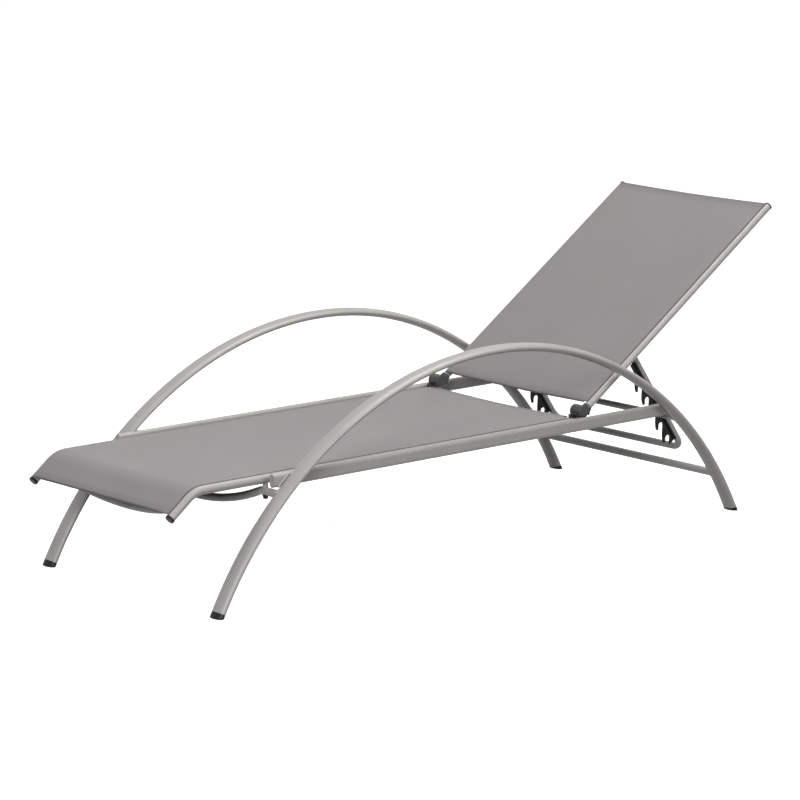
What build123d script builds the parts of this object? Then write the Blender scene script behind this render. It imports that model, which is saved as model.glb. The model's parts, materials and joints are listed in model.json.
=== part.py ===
from build123d import *
import math
import os

os.makedirs("parts", exist_ok=True)

# Sun lounger with two arched side tubes, a stretched seat sling and a reclining back.
# Millimetres, +Z up. X runs from the foot end to the head end, Y across the lounger.
# The origin is on the floor, below the middle of the lounger as it stands.
# Lengths called "reach" are measured along X from the centre of a front foot.

# Arched side tubes: flat oval, one bend from the front foot over to the rear foot
arch_spacing = 604.0
arch_front_reach = 787.0
arch_rear_span = 762.0
arch_rise = 478.0
arch_tube_depth = 19.0
arch_tube_width = 41.0
arch_tube_wall = 1.5
foot_cap_height = 10.0
foot_plug_length = 15.0
foot_plug_clearance = 0.35
foot_edge_round = 1.2

# Base rails: flat oval tubes along the inner side of the arches, welded where they cross
base_rail_height = 30.0
base_rail_width = 15.0
base_rail_wall = 1.5
base_rail_front_overhang = 34.4
base_rail_rear_inset = 3.4
base_rail_weld_gap = 0.05
rail_plug_flange = 2.0
rail_plug_depth = 10.0

# Seat rails: round profile with a pocket for the cloth's edge cord
seat_rail_radius = 10.0
seat_rail_height = 265.0
seat_rail_end_distance = 12.0
toe_bend_reach = -12.5
toe_bend_angle = 38.0
toe_bend_radius = 65.0
toe_length = 78.5
toe_cap_length = 6.0
cap_lip = 0.6
cap_edge_round = 2.0
cap_plug_length = 12.0
cap_plug_clearance = 0.1
cord_pocket_radius = 3.2
cord_pocket_depth = 4.4
cord_radius = 2.6
slit_width = 2.0
profile_wall = 1.8
profile_web = 1.8

# Cloth: stretched over the rails, its edges folded down into the slits
cloth_thickness = 1.0
cloth_lift = 0.3
cloth_cord_gap = 0.1
seat_cloth_hinge_gap = 9.0
seat_cloth_notch_length = 14.0
seat_cloth_notch_gap = 2.0
cloth_cut_back = 1.0

# Round cross members
crossbar_radius = 9.0
crossbar_wall = 1.5
front_bar_drop = 47.5
front_bar_bow_inset = 8.0
front_bar_shoulder_radius = 30.0
toe_bar_toe_distance = 40.5
toe_bar_bow = 61.0
stretcher_height = 96.0
hook_bar_radius = 7.5
hook_bar_wall = 2.0
hook_bar_set_back = 1.36

# Bolts that hold the seat rails to the frame
bolt_radius = 3.0
bolt_clearance = 0.2
bolt_head_radius = 5.5
bolt_head_height = 6.0
bolt_head_round = 2.0
bolt_rail_grip = 3.5
washer_thickness = 1.5
washer_radius = 7.0
spacer_radius = 6.0
front_spacer_height = 8.5
side_spacer_length = 11.45
side_bolt_head_height = 3.5
side_bolt_distances = (456.0, 46.0)
side_bolt_drop = 3.0

# Back hinges: one pattern serves both sides, with its back knuckle always towards -Y
hinge_rise = 25.5
hinge_radius = 15.0
hinge_back_knuckle = 22.0
hinge_seat_knuckle = 10.0
hinge_running_gap = 0.3
hinge_edge_round = 2.0
hinge_foot_front = 15.5
hinge_foot_rear = 11.0
hinge_foot_height = 17.0
hinge_foot_rise = 1.0
hinge_foot_wall = 3.0
hinge_pin_radius = 4.0
hinge_pin_clearance = 0.05
hinge_pin_end_gap = 1.5
hinge_head_radius = 9.5
hinge_head_thickness = 2.0
hinge_head_recess = 1.4
hinge_head_clearance = 0.15
hinge_pin_head_gap = 0.1
hinge_neck_width = 11.5
hinge_collar_radius = 11.5
hinge_collar_start = 16.5
hinge_collar_length = 14.0
hinge_collar_seat = 7.0
hinge_screw_radius = 2.0
hinge_screw_head_radius = 3.6
hinge_screw_head_depth = 2.2
hinge_screw_rise = 5.0
hinge_screw_front = 9.5
hinge_screw_rear = 5.0
hinge_screw_grip = 4.0

# Back rest, at the photographed tilt
back_tilt_angle = 34.74
back_rail_radius = 9.0
back_rail_set_back = 14.3
back_rail_end = 744.5
back_cap_length = 4.0
back_cloth_start = 35.0
back_bar_radius = 8.0
back_bar_wall = 1.5
back_bar_bow = 45.0
back_bar_middle_distance = 49.7
back_bar_top_distance = 44.5

# Stay: a U shaped tube that hangs from the back and hooks over a bar of the frame
stay_inset = 30.0
stay_tube_radius = 8.0
stay_tube_wall = 1.5
stay_pivot_along = 225.3
stay_pivot_set_back = 13.0
stay_length = 304.0
stay_bend_radius = 32.0
stay_top_length = 12.0
stay_bolt_clearance = 0.06
stay_bolt_head_height = 3.0
stay_bolt_head_radius = 5.0
stay_nut_height = 5.0
stay_nut_radius = 5.5
stay_bush_radius = 6.0
stay_bush_length = 2.8
stay_bush_gap = 0.2
stay_plug_length = 8.0
stay_plug_flange = 2.0
lug_thickness = 4.0
lug_width = 26.0
lug_end_radius = 7.0

# Notched racks on the stay: five slots that open downwards, each behind a hook
rack_thickness = 4.0
rack_base_thickness = 12.0
rack_base_front = 9.5
rack_base_back = 3.0
rack_body_front = 19.0
rack_start = 24.5
rack_end = 267.0
rack_slot_pitch = 40.6
rack_slot_count = 5
rack_rest_slot = 3
rack_seat_distance = 169.0
rack_seat_height = 24.4
rack_slot_clearance = 0.3
rack_slot_angle = 38.0
rack_hook_tip = 10.6
rack_hook_taper = 12.0
rack_tip_width = 4.6
rack_tip_round = 1.9

# All cutting shapes reach this far past what they cut
overrun = 2.0

# Values worked out from the sizes above
sides = ((-1, "left"), (1, "right"))
arch_y = arch_spacing / 2
base_rail_y = arch_y - arch_tube_width / 2 - base_rail_weld_gap - base_rail_width / 2
base_rail_inner_y = base_rail_y - base_rail_width / 2
seat_rail_y = base_rail_inner_y - side_spacer_length - seat_rail_radius
stay_y = seat_rail_y - stay_inset
front_bar_height = seat_rail_height - seat_rail_radius - front_spacer_height - crossbar_radius
front_bar_half_bow = seat_rail_y - front_bar_bow_inset
side_bolt_z = seat_rail_height - side_bolt_drop
hinge_height = seat_rail_height + hinge_rise
hinge_foot_bottom = seat_rail_height + hinge_foot_rise
hinge_screw_height = seat_rail_height + hinge_screw_rise
toe_direction = Vector(1, 0, 0).rotate(Axis.Y, -toe_bend_angle)
back_direction = Vector(1, 0, 0).rotate(Axis.Y, -back_tilt_angle)
back_normal = Vector(-back_direction.Z, 0, back_direction.X)


def arch_radius(span):
    """Radius of an arc that leaves the top of the arch level and reaches the floor this far away."""
    return (span**2 + arch_rise**2) / (2 * arch_rise)


def arch_angle(span, height):
    """Angle round that arc, from the top, at which its centre line has this height."""
    radius = arch_radius(span)
    return math.degrees(math.acos((height - arch_rise + radius) / radius))


def arch_offset(span, height):
    """Distance along X from the top of the arch to its centre line at this height."""
    return arch_radius(span) * math.sin(math.radians(arch_angle(span, height)))


# The base rails end near the arches they cross
base_rail_front_reach = (
    arch_front_reach - arch_offset(arch_front_reach, seat_rail_height) - base_rail_front_overhang
)
base_rail_rear_reach = arch_front_reach + arch_offset(arch_rear_span, seat_rail_height) - base_rail_rear_inset

# The bars of the back rest keep their place by the stay's pivot and by the top of the rails
back_bar_middle = stay_pivot_along + back_bar_middle_distance
back_bar_top = back_rail_end - back_bar_top_distance

# The hinges lie where the third hook of the stay meets the hook bar between the arches
hook_offset = (
    back_direction * (stay_pivot_along - rack_seat_height)
    - back_normal * (back_rail_set_back + stay_pivot_set_back + rack_seat_distance)
)
hook_bar_reach = (
    arch_front_reach + arch_offset(arch_rear_span, hinge_height + hook_offset.Z) + hook_bar_set_back
)
hinge_reach = hook_bar_reach - hook_offset.X

# The lounger's ends, from the front foot, fix where the origin lies between them
toe_end_reach = (
    toe_bend_reach
    - (toe_length + toe_cap_length) * toe_direction.X
    - (seat_rail_radius + cap_lip - cap_edge_round) * toe_direction.Z
)
head_end_reach = (
    hinge_reach
    + (back_rail_end + back_cap_length) * back_direction.X
    + (back_rail_set_back + back_rail_radius + cap_lip - cap_edge_round) * back_direction.Z
)
front_foot_x = -(toe_end_reach + head_end_reach) / 2
hinge_axis = Vector(front_foot_x + hinge_reach, 0, hinge_height)


def back_point(along, normal, y=0):
    """Point of the back rest: along its rails from the hinge axis, and out from its plane."""
    return hinge_axis + back_direction * along + back_normal * normal + Vector(0, y, 0)


def rail_profile(radius):
    """Round rail section with a cord pocket under its top, an entry slit and a lower cavity."""
    cavity_radius = (2 * radius - cord_pocket_depth - cord_pocket_radius - profile_web - profile_wall) / 2
    Circle(radius)
    with Locations((0, radius - cord_pocket_depth)):
        Circle(cord_pocket_radius, mode=Mode.SUBTRACT)
        Rectangle(slit_width, cord_pocket_depth + overrun, align=(Align.CENTER, Align.MIN), mode=Mode.SUBTRACT)
    with Locations((0, profile_wall + cavity_radius - radius)):
        Circle(cavity_radius, mode=Mode.SUBTRACT)
    return cavity_radius


def cloth_profile(radius):
    """Cloth section: a flat panel that rests on both rails, with an edge folded into each slit."""
    edge_bottom = radius - cord_pocket_depth + cord_radius + cloth_cord_gap
    panel_bottom = radius + cloth_lift
    with Locations((0, panel_bottom)):
        Rectangle(2 * seat_rail_y + cloth_thickness, cloth_thickness, align=(Align.CENTER, Align.MIN))
    with Locations((-seat_rail_y, edge_bottom), (seat_rail_y, edge_bottom)):
        Rectangle(cloth_thickness, panel_bottom + cloth_thickness - edge_bottom, align=(Align.CENTER, Align.MIN))


def tube_profile(radius, wall):
    """Round tube section."""
    Circle(radius)
    Circle(radius - wall, mode=Mode.SUBTRACT)


# Lines that several pieces follow
arch_top_x = front_foot_x + arch_front_reach
front_bar_x = arch_top_x - arch_offset(arch_front_reach, front_bar_height)
stretcher_x = arch_top_x + arch_offset(arch_rear_span, stretcher_height)
toe_corner = Vector(front_foot_x + toe_bend_reach, 0, seat_rail_height)
toe_end = toe_corner - toe_direction * toe_length
seat_rail_end = Vector(hinge_axis.X + seat_rail_end_distance, 0, seat_rail_height)
seat_cloth_end = Vector(hinge_axis.X - seat_cloth_hinge_gap, 0, seat_rail_height)
seat_cloth_corner = seat_cloth_end - Vector(seat_cloth_notch_length, 0, 0)
side_bolt_xs = [hinge_axis.X - distance for distance in side_bolt_distances]
lug_inner_y = stay_y + stay_tube_radius + stay_bush_length + stay_bush_gap
toe_plane = Plane(origin=toe_end, x_dir=(0, 1, 0), z_dir=toe_direction)
back_plane = Plane(origin=hinge_axis, x_dir=(0, 1, 0), z_dir=back_direction)

# The stay hangs square to the back and its third hook sits on the hook bar
stay_pivot = back_point(stay_pivot_along, -back_rail_set_back - stay_pivot_set_back)
stay_down = -back_normal
stay_front = -back_direction
rack_plane = Plane(origin=stay_pivot, x_dir=stay_down, z_dir=(0, 1, 0))
slot_radius = hook_bar_radius + rack_slot_clearance
slot_shift = rack_slot_pitch * math.cos(math.radians(rack_slot_angle))
hook_thickness = rack_slot_pitch * math.sin(math.radians(rack_slot_angle)) - 2 * slot_radius
first_seat = rack_seat_distance - (rack_rest_slot - 1) * rack_slot_pitch
stay_plane = Plane(origin=stay_pivot, x_dir=stay_down, z_dir=back_direction)
hook_bar_centre = stay_pivot + stay_down * rack_seat_distance + stay_front * rack_seat_height

# One hook of the racks, seen along the slot that it guards, whose seat is the sketch's origin
hook_side = slot_radius + hook_thickness
with BuildSketch() as hook_outline:
    with BuildLine():
        TangentArc(
            (-rack_hook_taper, hook_side), (rack_hook_tip, slot_radius + rack_tip_width), tangent=(1, 0)
        )
        Polyline(
            (rack_hook_tip, slot_radius + rack_tip_width),
            (rack_hook_tip, slot_radius),
            (0, slot_radius),
            (0, -slot_radius),
            (-slot_shift, -slot_radius),
            (-slot_shift, hook_side),
            (-rack_hook_taper, hook_side),
        )
    make_face()
    fillet(hook_outline.vertices().group_by(Axis.X)[-1], rack_tip_round)

for side, side_name in sides:
    # Arched tube, swept from the front foot to the rear foot
    with BuildPart() as arch:
        with BuildLine(Plane.XZ.offset(-side * arch_y)) as arch_line:
            front_angle = arch_angle(arch_front_reach, foot_cap_height)
            rear_angle = arch_angle(arch_rear_span, foot_cap_height)
            front_radius = arch_radius(arch_front_reach)
            rear_radius = arch_radius(arch_rear_span)
            CenterArc((arch_top_x, arch_rise - front_radius), front_radius, 90 + front_angle, -front_angle)
            CenterArc((arch_top_x, arch_rise - rear_radius), rear_radius, 90, -rear_angle)
        with BuildSketch(Plane(origin=arch_line.line @ 0, x_dir=(0, 1, 0), z_dir=arch_line.line % 0)):
            Ellipse(arch_tube_width / 2, arch_tube_depth / 2)
            Ellipse(
                arch_tube_width / 2 - arch_tube_wall, arch_tube_depth / 2 - arch_tube_wall, mode=Mode.SUBTRACT
            )
        sweep()
    arch.part.label = "arch_" + side_name
    export_step(arch.part, "parts/arch_" + side_name + ".step")

    # The same tube without its bore, for fitting what is welded to it
    with BuildPart() as arch_outside:
        with BuildSketch(Plane(origin=arch_line.line @ 0, x_dir=(0, 1, 0), z_dir=arch_line.line % 0)):
            Ellipse(arch_tube_width / 2, arch_tube_depth / 2)
        sweep(path=arch_line.line)
    if side < 0:
        arch_outside_left = arch_outside.part
    else:
        arch_outside_right = arch_outside.part

    # Foot caps: a plug in the tube and an oval sole cut level with the floor
    for end_name, end_point, end_direction in (
        ("front", arch_line.line @ 0, arch_line.line % 0 * -1),
        ("rear", arch_line.line @ 1, arch_line.line % 1),
    ):
        end_plane = Plane(origin=end_point, x_dir=(0, 1, 0), z_dir=end_direction)
        with BuildPart() as foot_cap:
            with BuildSketch(end_plane):
                Ellipse(arch_tube_width / 2, arch_tube_depth / 2)
            extrude(amount=arch_tube_depth + foot_cap_height)
            split(bisect_by=Plane.XY, keep=Keep.TOP)
            fillet(foot_cap.edges().group_by(Axis.Z)[0], foot_edge_round)
            with BuildSketch(end_plane):
                Ellipse(
                    arch_tube_width / 2 - arch_tube_wall - foot_plug_clearance,
                    arch_tube_depth / 2 - arch_tube_wall - foot_plug_clearance,
                )
            extrude(amount=-foot_plug_length)
        foot_cap.part.label = "foot_cap_" + end_name + "_" + side_name
        export_step(foot_cap.part, "parts/foot_cap_" + end_name + "_" + side_name + ".step")

    # Base rail, drilled for the side bolts
    with BuildPart() as base_rail:
        with BuildSketch(Plane.YZ.offset(front_foot_x + base_rail_front_reach)):
            with Locations((side * base_rail_y, seat_rail_height)):
                SlotOverall(base_rail_height, base_rail_width, rotation=90)
                SlotOverall(
                    base_rail_height - 2 * base_rail_wall,
                    base_rail_width - 2 * base_rail_wall,
                    rotation=90,
                    mode=Mode.SUBTRACT,
                )
        extrude(amount=base_rail_rear_reach - base_rail_front_reach)
        for bolt_x in side_bolt_xs:
            with Locations(
                Plane(origin=(bolt_x, side * (base_rail_inner_y - overrun), side_bolt_z), z_dir=(0, side, 0))
            ):
                Cylinder(
                    bolt_radius + bolt_clearance,
                    base_rail_wall + 2 * overrun,
                    align=(Align.CENTER, Align.CENTER, Align.MIN),
                    mode=Mode.SUBTRACT,
                )
    base_rail.part.label = "base_rail_" + side_name
    export_step(base_rail.part, "parts/base_rail_" + side_name + ".step")

    # Seat rail: level along the seat, bent down at the toe end
    with BuildPart() as seat_rail:
        with BuildLine() as seat_line:
            FilletPolyline(toe_end, toe_corner, seat_rail_end, radius=toe_bend_radius)
        with BuildSketch(toe_plane):
            with Locations((side * seat_rail_y, 0)):
                seat_cavity_radius = rail_profile(seat_rail_radius)
        sweep(path=seat_line.line)
        with Locations((front_bar_x, side * seat_rail_y, seat_rail_height - seat_rail_radius - overrun)):
            Cylinder(
                bolt_radius + bolt_clearance,
                bolt_rail_grip + overrun,
                align=(Align.CENTER, Align.CENTER, Align.MIN),
                mode=Mode.SUBTRACT,
            )
        for bolt_x in side_bolt_xs:
            with Locations(Plane(origin=(bolt_x, side * seat_rail_y, side_bolt_z), z_dir=(0, 1, 0))):
                Cylinder(bolt_radius + bolt_clearance, 2 * (seat_rail_radius + overrun), mode=Mode.SUBTRACT)
        for offset in (-hinge_screw_front, hinge_screw_rear):
            with Locations(
                Plane(
                    origin=(
                        hinge_axis.X + offset,
                        side * seat_rail_y + seat_rail_radius - hinge_screw_grip,
                        hinge_screw_height,
                    ),
                    z_dir=(0, 1, 0),
                )
            ):
                Cylinder(
                    hinge_screw_radius,
                    hinge_screw_grip + overrun,
                    align=(Align.CENTER, Align.CENTER, Align.MIN),
                    mode=Mode.SUBTRACT,
                )
    seat_rail.part.label = "seat_rail_" + side_name
    export_step(seat_rail.part, "parts/seat_rail_" + side_name + ".step")

    # Stoppers at the two open ends of the base rail
    for end_name, end_reach, end_sign in (("front", base_rail_front_reach, -1), ("rear", base_rail_rear_reach, 1)):
        end_plane = Plane(
            origin=(front_foot_x + end_reach, side * base_rail_y, seat_rail_height),
            x_dir=(0, 1, 0),
            z_dir=(1, 0, 0),
        )
        with BuildPart() as rail_stopper:
            with BuildSketch(end_plane):
                SlotOverall(base_rail_height, base_rail_width, rotation=90)
            extrude(amount=end_sign * rail_plug_flange)
            with BuildSketch(end_plane):
                SlotOverall(
                    base_rail_height - 2 * (base_rail_wall + cap_plug_clearance),
                    base_rail_width - 2 * (base_rail_wall + cap_plug_clearance),
                    rotation=90,
                )
            extrude(amount=-end_sign * rail_plug_depth)
        rail_stopper.part.label = "base_rail_stopper_" + end_name + "_" + side_name
        export_step(rail_stopper.part, "parts/base_rail_stopper_" + end_name + "_" + side_name + ".step")

    # Round cap on the toe end of the seat rail, pushed into its lower cavity
    with BuildPart() as toe_cap:
        with BuildSketch(toe_plane):
            with Locations((side * seat_rail_y, 0)):
                Circle(seat_rail_radius + cap_lip)
        extrude(amount=-toe_cap_length)
        fillet(toe_cap.faces().sort_by(Axis.X)[0].edges(), cap_edge_round)
        with BuildSketch(toe_plane):
            with Locations((side * seat_rail_y, profile_wall + seat_cavity_radius - seat_rail_radius)):
                Circle(seat_cavity_radius - cap_plug_clearance)
        extrude(amount=cap_plug_length)
    toe_cap.part.label = "seat_rail_toe_cap_" + side_name
    export_step(toe_cap.part, "parts/seat_rail_toe_cap_" + side_name + ".step")

    # Thin cap on the head end of the seat rail
    head_plane = Plane(origin=seat_rail_end, x_dir=(0, 1, 0), z_dir=(1, 0, 0))
    with BuildPart() as head_cap:
        with BuildSketch(head_plane):
            with Locations((side * seat_rail_y, 0)):
                Circle(seat_rail_radius)
        extrude(amount=rail_plug_flange)
        with BuildSketch(head_plane):
            with Locations((side * seat_rail_y, profile_wall + seat_cavity_radius - seat_rail_radius)):
                Circle(seat_cavity_radius - cap_plug_clearance)
        extrude(amount=-cap_plug_length)
    head_cap.part.label = "seat_rail_head_cap_" + side_name
    export_step(head_cap.part, "parts/seat_rail_head_cap_" + side_name + ".step")

    # Cord that keeps the edge of the seat cloth in the rail
    with BuildPart() as seat_cord:
        with BuildLine():
            FilletPolyline(
                toe_end + toe_direction * cloth_cut_back,
                toe_corner,
                seat_cloth_corner,
                radius=toe_bend_radius,
            )
        with BuildSketch(toe_plane.offset(cloth_cut_back)):
            with Locations((side * seat_rail_y, seat_rail_radius - cord_pocket_depth)):
                Circle(cord_radius)
        sweep()
    seat_cord.part.label = "seat_cord_" + side_name
    export_step(seat_cord.part, "parts/seat_cord_" + side_name + ".step")

    # Seat half of the hinge: a knuckle on a saddle screwed to the side of the seat rail
    rail_y = side * seat_rail_y
    knuckle_plane = Plane(
        origin=(hinge_axis.X, rail_y + hinge_running_gap / 2, hinge_height), x_dir=(-1, 0, 0), z_dir=(0, 1, 0)
    )
    with BuildPart() as seat_knuckle:
        with BuildSketch(knuckle_plane):
            Circle(hinge_radius)
        extrude(amount=hinge_seat_knuckle - hinge_running_gap / 2)
        fillet(seat_knuckle.faces().sort_by(Axis.Y)[-1].edges(), hinge_edge_round)
        with BuildSketch(knuckle_plane):
            with Locations(((hinge_foot_front - hinge_foot_rear) / 2, hinge_foot_bottom - hinge_height)):
                Rectangle(
                    hinge_foot_front + hinge_foot_rear, hinge_foot_height, align=(Align.CENTER, Align.MIN)
                )
        extrude(amount=seat_rail_radius + hinge_foot_wall - hinge_running_gap / 2)
        fillet(
            seat_knuckle.edges().filter_by(Axis.Y).group_by(Axis.X)[0].sort_by(Axis.Z)[-1:], hinge_edge_round
        )
        with Locations(Plane(origin=(hinge_axis.X, rail_y, seat_rail_height), z_dir=(1, 0, 0))):
            Cylinder(seat_rail_radius, 2 * (hinge_foot_front + overrun), mode=Mode.SUBTRACT)
        with Locations(knuckle_plane):
            Cylinder(
                hinge_pin_radius,
                hinge_seat_knuckle - hinge_pin_end_gap,
                align=(Align.CENTER, Align.CENTER, Align.MIN),
                mode=Mode.SUBTRACT,
            )
        for offset in (-hinge_screw_front, hinge_screw_rear):
            with Locations(
                Plane(origin=(hinge_axis.X + offset, rail_y, hinge_screw_height), z_dir=(0, 1, 0))
            ):
                Cylinder(
                    hinge_screw_radius,
                    seat_rail_radius + hinge_foot_wall + overrun,
                    align=(Align.CENTER, Align.CENTER, Align.MIN),
                    mode=Mode.SUBTRACT,
                )
    seat_knuckle.part.label = "hinge_seat_half_" + side_name
    export_step(seat_knuckle.part, "parts/hinge_seat_half_" + side_name + ".step")

    # Back half of the hinge: a wider knuckle with a neck and a collar round the back rail
    with BuildPart() as back_knuckle:
        with BuildSketch(
            Plane(origin=(hinge_axis.X, rail_y - hinge_running_gap / 2, hinge_height), z_dir=(0, -1, 0))
        ):
            Circle(hinge_radius)
        extrude(amount=hinge_back_knuckle - hinge_running_gap / 2)
        fillet(back_knuckle.faces().sort_by(Axis.Y)[0].edges(), hinge_edge_round)
        with BuildSketch(
            Plane(
                origin=(hinge_axis.X, rail_y - hinge_running_gap / 2, hinge_height),
                x_dir=back_direction,
                z_dir=(0, -1, 0),
            )
        ):
            Polygon(
                (0, 0),
                (0, -hinge_radius),
                (hinge_collar_start, -back_rail_set_back - hinge_collar_radius),
                (hinge_collar_start + hinge_collar_seat, -back_rail_set_back - hinge_collar_radius / 2),
                (hinge_collar_start + hinge_collar_seat, -back_rail_set_back + hinge_collar_radius / 2),
                (hinge_collar_start, -back_rail_set_back + hinge_collar_radius),
                align=None,
            )
        extrude(amount=hinge_neck_width - hinge_running_gap / 2)
        with BuildSketch(back_plane.offset(hinge_collar_start)):
            with Locations((rail_y, -back_rail_set_back)):
                Circle(hinge_collar_radius)
        extrude(amount=hinge_collar_length)
        fillet(
            back_knuckle.edges().filter_by(GeomType.CIRCLE).sort_by_distance(
                back_point(hinge_collar_start + hinge_collar_length, -back_rail_set_back, rail_y)
            )[0],
            hinge_edge_round,
        )
        with BuildSketch(back_plane.offset(hinge_collar_start + hinge_collar_seat)):
            with Locations((rail_y, -back_rail_set_back)):
                Circle(back_rail_radius)
        extrude(amount=hinge_collar_length, mode=Mode.SUBTRACT)
        with Locations(Plane(origin=(hinge_axis.X, rail_y, hinge_height), z_dir=(0, -1, 0))):
            Cylinder(
                hinge_pin_radius + hinge_pin_clearance,
                hinge_back_knuckle + overrun,
                align=(Align.CENTER, Align.CENTER, Align.MIN),
                mode=Mode.SUBTRACT,
            )
        with Locations(
            Plane(
                origin=(hinge_axis.X, rail_y - hinge_back_knuckle + hinge_head_recess, hinge_height),
                z_dir=(0, -1, 0),
            )
        ):
            Cylinder(
                hinge_head_radius + hinge_head_clearance,
                hinge_head_recess + overrun,
                align=(Align.CENTER, Align.CENTER, Align.MIN),
                mode=Mode.SUBTRACT,
            )
    back_knuckle.part.label = "hinge_back_half_" + side_name
    export_step(back_knuckle.part, "parts/hinge_back_half_" + side_name + ".step")

    # Hinge pin: pressed into the seat half, its broad head sunk in the back half
    pin_head_y = rail_y - hinge_back_knuckle + hinge_head_recess - hinge_pin_head_gap
    with BuildPart() as hinge_pin:
        with Locations(
            Plane(
                origin=(hinge_axis.X, pin_head_y, hinge_height),
                z_dir=(0, -1, 0),
            )
        ):
            Cylinder(hinge_head_radius, hinge_head_thickness, align=(Align.CENTER, Align.CENTER, Align.MIN))
        fillet(hinge_pin.faces().sort_by(Axis.Y)[0].edges(), hinge_head_recess / 2)
        with Locations(
            Plane(
                origin=(hinge_axis.X, rail_y + hinge_seat_knuckle - hinge_pin_end_gap, hinge_height),
                z_dir=(0, -1, 0),
            )
        ):
            Cylinder(
                hinge_pin_radius,
                rail_y + hinge_seat_knuckle - hinge_pin_end_gap - pin_head_y,
                align=(Align.CENTER, Align.CENTER, Align.MIN),
            )
    hinge_pin.part.label = "hinge_pin_" + side_name
    export_step(hinge_pin.part, "parts/hinge_pin_" + side_name + ".step")

    # Back rail
    with BuildPart() as back_rail:
        with BuildSketch(back_plane.offset(hinge_collar_start + hinge_collar_seat)):
            with Locations((rail_y, -back_rail_set_back)):
                back_cavity_radius = rail_profile(back_rail_radius)
        extrude(amount=back_rail_end - hinge_collar_start - hinge_collar_seat)
    back_rail.part.label = "back_rail_" + side_name
    export_step(back_rail.part, "parts/back_rail_" + side_name + ".step")

    # Round cap on the top of the back rail
    with BuildPart() as back_cap:
        with BuildSketch(back_plane.offset(back_rail_end)):
            with Locations((rail_y, -back_rail_set_back)):
                Circle(back_rail_radius + cap_lip)
        extrude(amount=back_cap_length)
        fillet(back_cap.faces().sort_by(Axis.X)[-1].edges(), cap_edge_round)
        with BuildSketch(back_plane.offset(back_rail_end)):
            with Locations((rail_y, -back_rail_set_back + profile_wall + back_cavity_radius - back_rail_radius)):
                Circle(back_cavity_radius - cap_plug_clearance)
        extrude(amount=-cap_plug_length)
    back_cap.part.label = "back_rail_cap_" + side_name
    export_step(back_cap.part, "parts/back_rail_cap_" + side_name + ".step")

    # Cord that keeps the edge of the back cloth in the rail
    with BuildPart() as back_cord:
        with BuildSketch(back_plane.offset(back_cloth_start)):
            with Locations((rail_y, back_rail_radius - back_rail_set_back - cord_pocket_depth)):
                Circle(cord_radius)
        extrude(amount=back_rail_end - back_cloth_start - cloth_cut_back)
    back_cord.part.label = "back_cord_" + side_name
    export_step(back_cord.part, "parts/back_cord_" + side_name + ".step")

    # Lug for the stay: an angle bracket welded to the inner side of the back rail
    with BuildPart() as stay_lug:
        with BuildSketch(back_plane.offset(stay_pivot_along - lug_width / 2)):
            with Locations((side * (lug_inner_y + lug_thickness / 2), lug_thickness / 2 - back_rail_set_back)):
                Rectangle(
                    lug_thickness,
                    stay_pivot_set_back + lug_end_radius + lug_thickness / 2,
                    align=(Align.CENTER, Align.MAX),
                )
            with Locations((side * (lug_inner_y + seat_rail_y) / 2, -back_rail_set_back)):
                Rectangle(seat_rail_y - lug_inner_y, lug_thickness)
        extrude(amount=lug_width)
        fillet(
            stay_lug.edges().filter_by(Axis.Y).sort_by(Axis(origin=stay_pivot, direction=stay_down))[-2:],
            lug_end_radius,
        )
        with BuildSketch(back_plane):
            with Locations((rail_y, -back_rail_set_back)):
                Circle(back_rail_radius)
        extrude(amount=back_rail_end, mode=Mode.SUBTRACT)
        with Locations(Plane(origin=stay_pivot, z_dir=(0, side, 0))):
            Cylinder(
                bolt_radius + stay_bolt_clearance,
                seat_rail_y,
                align=(Align.CENTER, Align.CENTER, Align.MIN),
                mode=Mode.SUBTRACT,
            )
    stay_lug.part.label = "stay_lug_" + side_name
    export_step(stay_lug.part, "parts/stay_lug_" + side_name + ".step")

    # Rack: a notched plate on a strip that is shaped to the front of the stay's leg
    with BuildPart() as rack:
        with BuildSketch(rack_plane.offset(side * stay_y - rack_thickness / 2)):
            with Locations((rack_start, 0)):
                Rectangle(rack_end - rack_start, rack_body_front, align=(Align.MIN, Align.MIN))
            for slot in range(rack_slot_count + 1):
                with Locations(Location((first_seat + slot * rack_slot_pitch, rack_seat_height), rack_slot_angle)):
                    add(hook_outline.sketch)
            with Locations((rack_end, 0)):
                Rectangle(2 * rack_slot_pitch, 2 * rack_slot_pitch, align=Align.MIN, mode=Mode.SUBTRACT)
            for slot in range(rack_slot_count):
                with Locations(Location((first_seat + slot * rack_slot_pitch, rack_seat_height), rack_slot_angle)):
                    Circle(slot_radius, mode=Mode.SUBTRACT)
                    Rectangle(
                        slot_shift + rack_hook_tip,
                        2 * slot_radius,
                        align=(Align.MIN, Align.CENTER),
                        mode=Mode.SUBTRACT,
                    )
        extrude(amount=rack_thickness)
        with BuildSketch(rack_plane.offset(side * stay_y - rack_base_thickness / 2)):
            with Locations((rack_start, rack_base_back)):
                Rectangle(rack_end - rack_start, rack_base_front - rack_base_back, align=Align.MIN)
        extrude(amount=rack_base_thickness)
        with Locations(Plane(origin=stay_pivot + Vector(0, side * stay_y, 0), z_dir=stay_down)):
            Cylinder(
                stay_tube_radius,
                stay_length,
                align=(Align.CENTER, Align.CENTER, Align.MIN),
                mode=Mode.SUBTRACT,
            )
    rack.part.label = "rack_" + side_name
    export_step(rack.part, "parts/rack_" + side_name + ".step")

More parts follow.
